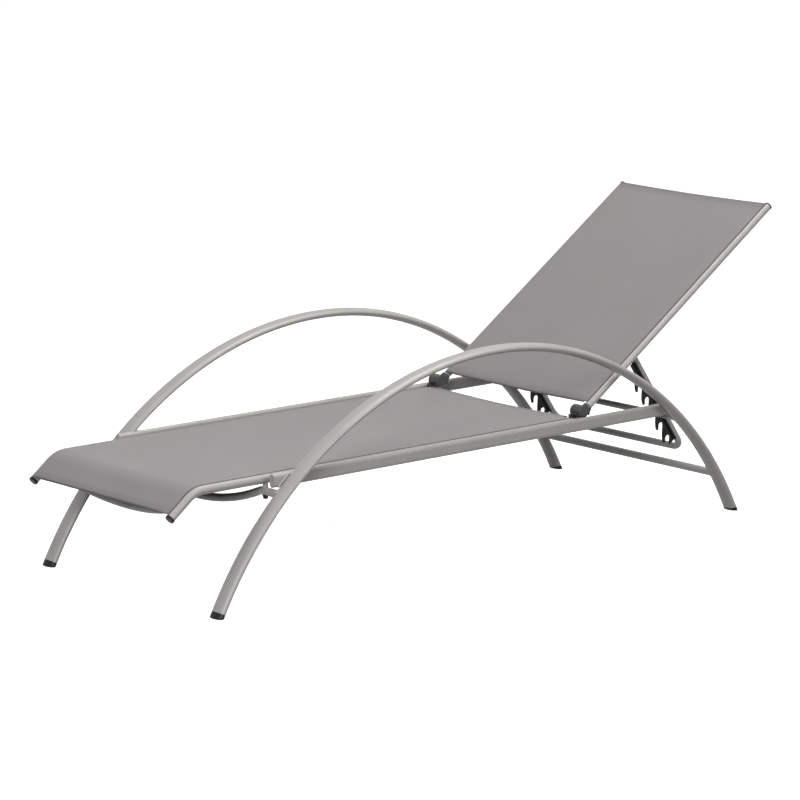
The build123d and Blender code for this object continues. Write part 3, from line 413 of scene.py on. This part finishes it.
def woven_cloth(name, light, dark, yarn, hem, spread):
    """Coated mesh cloth: over-and-under yarns in two tones, faint cloudiness, stitched hems, and painted shade in
    the weave's gaps, at the slits, at the folds and over the doubled hems.
    """
    material, tree, shader = bare_material(name)
    layout = add_node(tree, "ShaderNodeUVMap", uv_map="cloth")
    split = tree.nodes.new("ShaderNodeSeparateXYZ")
    tree.links.new(layout.outputs["UV"], split.inputs[0])
    across, along = split.outputs["X"], split.outputs["Y"]
    wave_across = maths(tree, "SINE", times(tree, across, math.pi / yarn))
    wave_along = maths(tree, "SINE", times(tree, along, math.pi / yarn))
    checks = maths(tree, "MULTIPLY_ADD", times(tree, wave_across, wave_along), 0.5, 0.5)
    over = ramp(tree, checks, ((0.30, grey(0)), (0.70, grey(1))))
    warp = maths(tree, "ABSOLUTE", wave_across)
    weft = maths(tree, "ABSOLUTE", wave_along)
    height = mix(tree, over, warp, weft)
    place = object_place(tree)
    tone = mix(tree, over, dark, light)
    # Painted shade: the low gaps between the yarns are darkened, where shade falls between them
    painted_gap_shade = ramp(tree, height, ((0.0, grey(1)), (0.45, grey(0))))
    tone = mix(tree, times(tree, painted_gap_shade, 0.45), tone, toned(dark, 0.45))
    cloud = mottle(tree, place, 4.5, 3.0, (0.35, grey(0.97)), (0.65, grey(1.03)))
    tone = mix(tree, 1.0, tone, cloud, "MULTIPLY")
    fibre = mottle(tree, place, 900.0, 2.0, (0.3, grey(0.92)), (0.7, grey(1.08)))
    tone = mix(tree, 1.0, tone, fibre, "MULTIPLY")

    # Painted shade: the turn of the fold at each end, and the slit beside a rail, are darkened over 3 to 4 mm,
    # where shade falls in them
    width, length = spread
    from_end = maths(tree, "MINIMUM", along, maths(tree, "SUBTRACT", length, along))
    from_side = maths(tree, "MINIMUM", across, maths(tree, "SUBTRACT", width, across))
    painted_slit_shade = ramp(
        tree,
        maths(tree, "MULTIPLY_ADD", from_side, 100.0, 0.5),
        ((0.5, grey(1)), (0.86, grey(1)), (0.92, grey(0))),
    )
    painted_fold_shade = ramp(
        tree,
        maths(tree, "MULTIPLY_ADD", from_end, 100.0, 0.5),
        ((0.50, grey(1)), (0.66, grey(0.75)), (0.84, grey(0))),
    )
    painted_turn_shade = maths(tree, "MAXIMUM", painted_slit_shade, painted_fold_shade)
    tone = mix(tree, times(tree, painted_turn_shade, 0.80), tone, toned(dark, 0.25))

    # Painted shade: the doubled cloth of the hem is darkened, standing for the lesser light it lets through than
    # the single cloth beside it
    painted_hem_shade = ramp(
        tree,
        maths(tree, "MULTIPLY_ADD", from_end, 0.44 / hem, 0.5),
        ((0.5, grey(1)), (0.62, grey(0.6)), (0.94, grey(0))),
    )
    tone = mix(tree, times(tree, painted_hem_shade, 0.45), tone, toned(dark, 0.35))

    # The hem's seam: stitches of thread, each in a dimple
    seam = maths(tree, "COMPARE", from_end, hem * 0.72, 0.0007)
    pitch = maths(tree, "FRACT", times(tree, across, 1 / STITCH_PITCH))
    between = ramp(tree, pitch, ((0.18, grey(1)), (0.24, grey(0))))
    stitch = maths(tree, "SUBTRACT", 1.0, between)
    thread = times(tree, seam, stitch)
    tone = mix(tree, times(tree, thread, 0.6), tone, toned(light, 0.6))
    tree.links.new(tone, shader.inputs["Base Color"])
    shader.inputs["Roughness"].default_value = 0.58
    shader.inputs["Specular IOR Level"].default_value = 0.24
    shader.inputs["Sheen Weight"].default_value = 0.10
    shader.inputs["Sheen Roughness"].default_value = 0.6
    dimple = times(tree, times(tree, seam, maths(tree, "SUBTRACT", 1.0, stitch)), 1.2)
    lift = maths(tree, "ADD", height, times(tree, thread, 1.4))
    bump(tree, shader, maths(tree, "SUBTRACT", lift, dimple), 0.0003, 0.7)
    return material


def paint_node(name, material):
    node = frame["nodes"][name]
    node.data.materials.clear()
    node.data.materials.append(material)


def let_go():
    """Leaves edit mode and clears the selection before a piece is made or joined."""
    if bpy.context.object and bpy.context.object.mode != "OBJECT":
        bpy.ops.object.mode_set(mode="OBJECT")
    bpy.ops.object.select_all(action="DESELECT")


def finish_piece(piece, body, material):
    piece.data.materials.clear()
    piece.data.materials.append(material)
    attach(piece, body)


class FrameFinishOperator(bpy.types.Operator):
    """Coat the tubes, caps, hinges, racks and fasteners of the frame"""

    bl_idname = "lounger.finish_frame"
    bl_label = "Finish the frame"

    def execute(self, context):
        tint = colours()
        coat = powder_coat("frame_coat", tint.coat)
        rail = powder_coat("rail_coat", tint.coat, 0.8)
        caps = moulded_plastic("cap_plastic", tint.plastic, 0.32, 0.45, 0.00006, 0.15)
        hinge = moulded_plastic("hinge_plastic", tint.hinge, 0.12, 0.20, 0.00002, 0.5)
        rack = powder_coat("rack_coat", tint.rack, 1.0, 0.12)
        zinc = zinc_plate("zinc_plate", tint.zinc)
        cord = moulded_plastic("edge_cord_rubber", tint.hinge, 0.6, 0.7, 0.00005)
        finish_of = {
            "frame_tube": coat,
            "rail_profile": rail,
            "black_plastic": caps,
            "hinge_plastic": hinge,
            "black_coat": rack,
            "lug_steel": coat,
            "bolt_steel": zinc,
            "edge_cord": cord,
        }
        for row in frame["record"]["subparts"]:
            if row["material_slot"] in finish_of:
                paint_node(row["node"], finish_of[row["material_slot"]])
        return {"FINISHED"}


def cloth_section(rail_y, rail_radius, sag):
    """Points of a cloth's section from slit to slit: (y, height over the rails' centre line)."""
    # How deep the edge hangs in the slit, where its turn starts, how high and how wide the turn is
    pocket, lip, lift, shoulder = 0.0018, 0.0012, 0.0008, 0.0022
    half = [(rail_y, rail_radius - pocket), (rail_y, rail_radius - lip)]
    for step in range(1, 7):
        angle = math.radians(90) * step / 6
        y = rail_y - shoulder * (1 - math.cos(angle))
        half.append((y, rail_radius - lip + (lift + lip) * math.sin(angle)))
    inner = rail_y - shoulder
    for y in CLOTH_COLUMNS:
        half.append((y, rail_radius + lift - sag * (1 - (y / inner) ** 2)))
    return [(-y, h) for y, h in half] + [(y, h) for y, h in reversed(half[:-1])]


def lay_cloth(name, section, stations, hem_reach, bow=0.0, notch=None):
    """A stretched cloth over two rails: a column for each section point, a row for each station.

    The first edge is pulled in by bow in the middle, as a cloth held only at its sides is. A notch
    gives the run and the distance from the middle past which the corners are cut away.
    """
    hem = sizes().hem_depth
    widths, runs = [0.0], [0.0]
    for first, second in zip(section, section[1:]):
        widths.append(widths[-1] + math.dist(first, second))
    for first, second in zip(stations, stations[1:]):
        runs.append(runs[-1] + (second[0] - first[0]).length)
    points, layout, faces = [], [], []
    columns, length = len(section), runs[-1]
    for (at, out, along), run in zip(stations, runs):
        for (y, height), width in zip(section, widths):
            inward = 1 - (y / section[0][0]) ** 2
            slack = CLOTH_SLACK * mathutils.noise.noise(Vector((y * 7, run * 5, 0.3))) * inward
            pulled = bow * inward * max(0.0, 1 - run / BOW_FADE)
            points.append(at + Vector((0, y, 0)) + along * pulled + out * (height + slack))
            layout.append((width, run))
    for row in range(len(stations) - 1):
        for column in range(columns - 1):
            middle_y = (section[column][0] + section[column + 1][0]) / 2
            middle_run = (runs[row] + runs[row + 1]) / 2
            if notch and middle_run > notch[0] and abs(middle_y) > notch[1]:
                continue
            corner = row * columns + column
            faces.append((corner, corner + 1, corner + columns + 1, corner + columns))
    # The hem turns under at each end and runs back below the cloth: (forward, up, run past the end)
    fold = (
        (0.0006, -0.0003, 0.0007),
        (0.0009, -0.0010, 0.0014),
        (0.0006, -0.0018, 0.0022),
        (-0.0030, -0.0021, 0.0058),
        (-hem, -0.0022, hem + 0.003),
    )
    for row, sign in ((0, -1), (len(stations) - 1, 1)):
        out, along = stations[row][1], stations[row][2]
        allowed = [c for c, point in enumerate(section) if abs(point[0]) <= hem_reach]
        previous = [row * columns + c for c in allowed]
        for forward, up, past in fold:
            current = []
            for c in allowed:
                current.append(len(points))
                points.append(points[row * columns + c] + along * sign * forward + out * up)
                layout.append((widths[c], runs[row] + sign * past))
            for place in range(len(allowed) - 1):
                quad = (previous[place], previous[place + 1], current[place + 1], current[place])
                faces.append(quad if sign > 0 else tuple(reversed(quad)))
            previous = current
    mesh = bpy.data.meshes.new(name)
    mesh.from_pydata(points, [], faces)
    layer = mesh.uv_layers.new(name="cloth")
    for loop in mesh.loops:
        layer.data[loop.index].uv = layout[loop.vertex_index]
    cloth = bpy.data.objects.new(name, mesh)
    bpy.context.scene.collection.objects.link(cloth)
    clean = bmesh.new()
    clean.from_mesh(mesh)
    bmesh.ops.delete(clean, geom=[v for v in clean.verts if not v.link_faces], context="VERTS")
    clean.to_mesh(mesh)
    clean.free()
    return cloth, widths[-1], length


def dress_cloth(cloth, body, stands_for, width, length):
    """Gives a laid cloth its thickness and weave, hangs it on its body and hides the part it stands for."""
    size, tint = sizes(), colours()
    let_go()
    bpy.context.view_layer.objects.active = cloth
    cloth.select_set(True)
    solid = cloth.modifiers.new("thickness", "SOLIDIFY")
    solid.thickness = size.cloth_thickness
    solid.offset = 0.0
    bpy.ops.object.modifier_apply(modifier=solid.name)
    bpy.ops.object.shade_smooth_by_angle(angle=math.radians(50))
    light, dark = tuple(tint.cloth), tuple(tint.cloth_dark)
    spread = (width, length)
    weave = woven_cloth(cloth.name + "_weave", light, dark, size.yarn, size.hem_depth, spread)
    finish_piece(cloth, body, weave)
    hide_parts(stands_for)


def seat_stations():
    """Stations of the seat rails' centre line, from the toe end to the rear edge of the cloth."""
    toe = TOE_CORNER - TOE_ALONG * (TOE_LENGTH - TOE_CUT_BACK)
    bend_start = TOE_CORNER - TOE_ALONG * TOE_BEND_RADIUS * math.tan(TOE_ANGLE / 2)
    stations = [(toe.lerp(bend_start, step / 8), TOE_OUT, TOE_ALONG) for step in range(8)]
    centre = bend_start - TOE_OUT * TOE_BEND_RADIUS
    for step in range(15):
        angle = TOE_ANGLE * (1 - step / 14)
        out = Vector((-math.sin(angle), 0, math.cos(angle)))
        along = Vector((math.cos(angle), 0, math.sin(angle)))
        stations.append((centre + out * TOE_BEND_RADIUS, out, along))
    bend_end = stations[-1][0]
    notch = Vector((HINGE.x - SEAT_REAR_GAP - SEAT_NOTCH_LENGTH, 0, SEAT_RAIL_Z))
    rear = Vector((HINGE.x - SEAT_REAR_GAP, 0, SEAT_RAIL_Z))
    up, ahead = Vector((0, 0, 1)), Vector((1, 0, 0))
    stations += [(bend_end.lerp(notch, step / 60), up, ahead) for step in range(1, 61)]
    stations += [(notch.lerp(rear, step / 2), up, ahead) for step in (1, 2)]
    return stations


class SeatClothOperator(bpy.types.Operator):
    """Stretch the seat cloth over the seat rails"""

    bl_idname = "lounger.seat_cloth"
    bl_label = "Seat cloth"

    def execute(self, context):
        stations = seat_stations()
        run = sum((b[0] - a[0]).length for a, b in zip(stations, stations[1:]))
        section = cloth_section(RAIL_Y, SEAT_RAIL_RADIUS, sizes().seat_sag)
        # The last two rows of faces lie in the notch; the limit is kept half a millimetre off them
        notch = (run - (SEAT_NOTCH_LENGTH - 0.0005), SEAT_NOTCH_Y)
        cloth, width, length = lay_cloth(
            "seat_cloth_woven", section, stations, SEAT_HEM_REACH, SEAT_TOE_BOW, notch
        )
        dress_cloth(cloth, "base_frame", "seat_cloth", width, length)
        return {"FINISHED"}


class BackClothOperator(bpy.types.Operator):
    """Stretch the back cloth over the back rails"""

    bl_idname = "lounger.back_cloth"
    bl_label = "Back cloth"

    def execute(self, context):
        stations, rows = [], 60
        for step in range(rows + 1):
            run = BACK_CLOTH_START + (BACK_CLOTH_END - BACK_CLOTH_START) * step / rows
            place = HINGE + BACK_ALONG * run - BACK_OUT * BACK_RAIL_SET_BACK
            stations.append((place, BACK_OUT, BACK_ALONG))
        section = cloth_section(RAIL_Y, BACK_RAIL_RADIUS, sizes().back_sag)
        cloth, width, length = lay_cloth("back_cloth_woven", section, stations, BACK_HEM_REACH)
        dress_cloth(cloth, "backrest", "back_cloth", width, length)
        return {"FINISHED"}


def surface_hit(target, start, direction):
    """Where a ray first meets a piece of the frame, or the nearest point where it misses."""
    hit, place, _, _ = target.ray_cast(start, direction, distance=WELD_SEARCH)
    if not hit:
        hit, place, _, _ = target.closest_point_on_mesh(start + direction * WELD_BACKED)
    if not hit:
        raise RuntimeError(f"no surface of {target.name} near a weld")
    return place


def weld_ring(target_name, centre, direction, radius):
    """Points round a tube where it meets another piece of the frame."""
    target = frame["nodes"][target_name]
    side = direction.orthogonal().normalized()
    other = direction.cross(side)
    ring = []
    for step in range(RING_POINTS):
        angle = math.tau * step / RING_POINTS
        rim = (side * math.cos(angle) + other * math.sin(angle)) * radius
        ring.append(surface_hit(target, centre - direction * WELD_BACKED + rim, direction))
    for _ in range(2):
        turned = ring[1:] + ring[:1]
        ring = [(ring[n - 1] + ring[n] * 2 + turned[n]) / 4 for n in range(RING_POINTS)]
    return ring


def bead(points, closed, radius):
    """A weld bead along some points: a swept round cord with the ripples of the weld pool."""
    let_go()
    curve = bpy.data.curves.new("bead", "CURVE")
    curve.dimensions = "3D"
    curve.bevel_depth = radius
    curve.bevel_resolution = 2
    spline = curve.splines.new("POLY")
    spline.points.add(len(points) - 1)
    spline.use_cyclic_u = closed
    for number, (place, point) in enumerate(zip(points, spline.points)):
        point.co = (*place, 1)
        point.radius = 1.0 + 0.10 * (number % 2) + 0.22 * mathutils.noise.noise(place * 140)
        if not closed and number in (0, len(points) - 1):
            point.radius = 0.5
    holder = bpy.data.objects.new("bead", curve)
    bpy.context.scene.collection.objects.link(holder)
    bpy.context.view_layer.objects.active = holder
    holder.select_set(True)
    bpy.ops.object.convert(target="MESH")
    bpy.ops.object.mode_set(mode="EDIT")
    bpy.ops.mesh.select_all(action="SELECT")
    bpy.ops.mesh.fill_holes(sides=0)
    bpy.ops.mesh.normals_make_consistent(inside=False)
    bpy.ops.object.mode_set(mode="OBJECT")
    bpy.ops.object.shade_smooth()
    return holder


def join_beads(beads, name, body):
    """All the beads of a body as one piece with the frame's coat over them."""
    let_go()
    for entry in beads:
        entry.select_set(True)
    bpy.context.view_layer.objects.active = beads[0]
    bpy.ops.object.join()
    piece = bpy.context.object
    piece.name = name
    piece.data.name = name
    finish_piece(piece, body, bpy.data.materials["frame_coat"])


def bar_end_welds(bar, radius, targets):
    """Rings at both ends of a level bar that runs across the lounger."""
    low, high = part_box(bar)
    centre = Vector(((low.x + high.x) / 2, 0, high.z - radius))
    rings = []
    for sign, target in zip((-1, 1), targets):
        side = Vector((0, sign, 0))
        rings.append(weld_ring(target, centre + side * ARCH_Y, side, radius))
    return rings


class FrameWeldsOperator(bpy.types.Operator):
    """Run weld beads round the bars of the base frame"""

    bl_idname = "lounger.frame_welds"
    bl_label = "Welds of the base frame"

    def execute(self, context):
        bead_radius = sizes().bead_radius
        arches = ("arch_left", "arch_right")
        rings = []
        for bar, radius in (
            ("front_crossbar", CROSSBAR_RADIUS),
            ("rear_stretcher", CROSSBAR_RADIUS),
            ("hook_bar", HOOK_BAR_RADIUS),
        ):
            rings += bar_end_welds(bar, radius, arches)
        end = TOE_CORNER - TOE_ALONG * (TOE_LENGTH - TOE_BAR_DISTANCE)
        for sign, rail in zip((-1, 1), ("seat_rail_left", "seat_rail_right")):
            side = Vector((0, sign, 0))
            direction = side * math.cos(TOE_BAR_LEAN) + TOE_OUT * math.sin(TOE_BAR_LEAN)
            centre = end + Vector((0, sign * RAIL_Y, 0))
            rings.append(weld_ring(rail, centre, direction, CROSSBAR_RADIUS))
        beads = [bead(ring, True, bead_radius) for ring in rings]
        for sign in (-1, 1):
            for front in (True, False):
                beads += self.crossing(sign, front, bead_radius)
        join_beads(beads, "weld_beads_frame", "base_frame")
        return {"FINISHED"}

    def crossing(self, sign, front, bead_radius):
        """Two beads where an arch leans on the flat side of its base rail."""
        rail_low, rail_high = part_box("base_rail_left" if sign < 0 else "base_rail_right")
        face_y = sign * max(abs(rail_low.y), abs(rail_high.y))
        found = []
        for edge in (-1, 1):
            points = []
            for step in range(CROSSING_POINTS):
                height = rail_high.z - rail_low.z - 2 * CROSSING_END_GAP
                z = rail_low.z + CROSSING_END_GAP + height * step / (CROSSING_POINTS - 1)
                slope = self.arch_slope(z, front)
                shift = edge * CROSSING_SHIFT * math.sqrt(1 + slope * slope)
                y = face_y + sign * CROSSING_OUT
                points.append(Vector((self.arch_x(z, front) + shift, y, z)))
            found.append(bead(points, False, bead_radius * CROSSING_SWELL))
        return found

    def arch_x(self, z, front):
        """X of the arch's centre line at a height; its front and rear arc have a radius each."""
        span = ARCH_FRONT_SPAN if front else ARCH_REAR_SPAN
        rail_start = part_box("base_rail_left")[0].x
        top_x = rail_start + BASE_RAIL_OVERHANG + self.offset(ARCH_FRONT_SPAN, SEAT_RAIL_Z)
        return top_x + (-1 if front else 1) * self.offset(span, z)

    def offset(self, span, z):
        """How far an arc of a span lies from the arch's top, along X, at a height."""
        radius = (span**2 + ARCH_RISE**2) / (2 * ARCH_RISE)
        return math.sqrt(radius**2 - (z - ARCH_RISE + radius) ** 2)

    def arch_slope(self, z, front):
        step = 0.001
        return (self.arch_x(z + step, front) - self.arch_x(z - step, front)) / (2 * step)


class BackWeldsOperator(bpy.types.Operator):
    """Run weld beads round the bars of the back and along the stay's lugs"""

    bl_idname = "lounger.back_welds"
    bl_label = "Welds of the back"

    def execute(self, context):
        bead_radius = sizes().bead_radius * BACK_BEAD_SHARE
        rails = ("back_rail_left", "back_rail_right")
        beads = []
        for along in BACK_BAR_PLACES:
            middle = HINGE + BACK_ALONG * along - BACK_OUT * BACK_RAIL_SET_BACK
            for sign, rail in zip((-1, 1), rails):
                side = Vector((0, sign, 0))
                direction = side * math.cos(BACK_BAR_LEAN) + BACK_OUT * math.sin(BACK_BAR_LEAN)
                centre = middle + Vector((0, sign * RAIL_Y, 0))
                ring = weld_ring(rail, centre, direction, BACK_BAR_RADIUS)
                beads.append(bead(ring, True, bead_radius))
        for sign in (-1, 1):
            across = Vector((0, sign * (RAIL_Y - LUG_INSET), 0))
            for over in (-1, 1):
                down = BACK_OUT * (BACK_RAIL_SET_BACK - over * LUG_WELD_RISE)
                points = []
                for step in range(LUG_POINTS):
                    run = LUG_WELD_LENGTH * step / (LUG_POINTS - 1)
                    along = LUG_ALONG - LUG_WELD_LENGTH / 2 + run
                    points.append(HINGE + BACK_ALONG * along - down + across)
                beads.append(bead(points, False, bead_radius))
        join_beads(beads, "weld_beads_back", "backrest")
        return {"FINISHED"}


class StudioOperator(bpy.types.Operator):
    """Set the floor, the lamps, the world and the camera"""

    bl_idname = "lounger.studio"
    bl_label = "Studio"

    def execute(self, context):
        scene = context.scene
        scene.view_settings.view_transform = "Standard"
        let_go()
        bpy.ops.mesh.primitive_plane_add(size=sizes().floor_size)
        floor = context.object
        floor.name = "studio_floor"
        material, tree, shader = bare_material("studio_floor_paint")
        shader.inputs["Roughness"].default_value = 1.0
        shader.inputs["Specular IOR Level"].default_value = 0.0
        camera_ray, mirrored = ray_masks(tree)
        shade = mix(tree, camera_ray, grey(FLOOR_GREY), grey(FLOOR_SEEN))
        tree.links.new(shade, shader.inputs["Base Color"])
        glow = add_node(tree, "ShaderNodeEmission", Color=(1, 1, 1, 1))
        strength = maths(tree, "MULTIPLY_ADD", camera_ray, FLOOR_GLOW, mirrored)
        tree.links.new(strength, glow.inputs["Strength"])
        together = tree.nodes.new("ShaderNodeAddShader")
        tree.links.new(shader.outputs[0], together.inputs[0])
        tree.links.new(glow.outputs[0], together.inputs[1])
        tree.links.new(together.outputs[0], tree.nodes["Material Output"].inputs["Surface"])
        floor.data.materials.append(material)

        world = bpy.data.worlds.new("studio_world")
        scene.world = world
        world.use_nodes = True
        tree = world.node_tree
        background = tree.nodes["Background"]
        background.inputs["Color"].default_value = (1, 1, 1, 1)
        camera_ray, mirrored = ray_masks(tree)
        seen = maths(tree, "MAXIMUM", camera_ray, mirrored)
        direction = tree.nodes.new("ShaderNodeTexCoord").outputs["Generated"]
        height = tree.nodes.new("ShaderNodeSeparateXYZ")
        tree.links.new(direction, height.inputs[0])
        upward = maths(tree, "MAXIMUM", height.outputs["Z"], 0.0)
        sky = maths(tree, "MULTIPLY_ADD", upward, SKY_RISE, SKY_LOW)
        tree.links.new(maths(tree, "MAXIMUM", seen, sky), background.inputs["Strength"])

        for name, place, side, power, tint in LAMPS:
            lamp = bpy.data.lights.new(name, "AREA")
            lamp.shape = "SQUARE"
            lamp.size = side
            lamp.energy = power
            lamp.color = tint
            holder = bpy.data.objects.new(name, lamp)
            scene.collection.objects.link(holder)
            holder.location = place
            holder.rotation_euler = (LAMP_AIM - Vector(place)).to_track_quat("-Z", "Y").to_euler()

        camera = bpy.data.cameras.new("photo_camera")
        camera.sensor_width = CAMERA_SENSOR
        camera.lens = CAMERA_LENS
        camera.clip_start, camera.clip_end = 0.1, 100.0
        holder = bpy.data.objects.new("photo_camera", camera)
        scene.collection.objects.link(holder)
        holder.location = (HINGE.x - FRONT_FOOT_BACK - CAMERA_BACK, CAMERA_Y, CAMERA_Z)
        holder.rotation_euler = (math.pi / 2 - CAMERA_PITCH, 0, CAMERA_YAW - math.pi / 2)
        scene.camera = holder
        return {"FINISHED"}


class LoungerPanel(bpy.types.Panel):
    """Buttons that dress the lounger"""

    bl_idname = "VIEW3D_PT_lounger"
    bl_label = "Sun lounger"
    bl_space_type = "VIEW_3D"
    bl_region_type = "UI"
    bl_category = "Lounger"

    def draw(self, context):
        layout = self.layout
        for name in LoungerColours.__annotations__:
            layout.prop(context.scene.lounger_colours, name)
        for name in LoungerSizes.__annotations__:
            layout.prop(context.scene.lounger_sizes, name)
        for operator in OPERATORS:
            layout.operator(operator.bl_idname)


OPERATORS = (
    FrameFinishOperator,
    SeatClothOperator,
    BackClothOperator,
    FrameWeldsOperator,
    BackWeldsOperator,
    StudioOperator,
)
CLASSES = (LoungerColours, LoungerSizes, *OPERATORS, LoungerPanel)


def register():
    for entry in CLASSES:
        bpy.utils.register_class(entry)
    bpy.types.Scene.lounger_colours = bpy.props.PointerProperty(type=LoungerColours)
    bpy.types.Scene.lounger_sizes = bpy.props.PointerProperty(type=LoungerSizes)


def unregister():
    del bpy.types.Scene.lounger_sizes
    del bpy.types.Scene.lounger_colours
    for entry in reversed(CLASSES):
        bpy.utils.unregister_class(entry)


def main():
    register()
    bpy.ops.lounger.finish_frame()
    bpy.ops.lounger.seat_cloth()
    bpy.ops.lounger.back_cloth()
    bpy.ops.lounger.frame_welds()
    bpy.ops.lounger.back_welds()
    bpy.ops.lounger.studio()


if __name__ == "__main__":
    main()
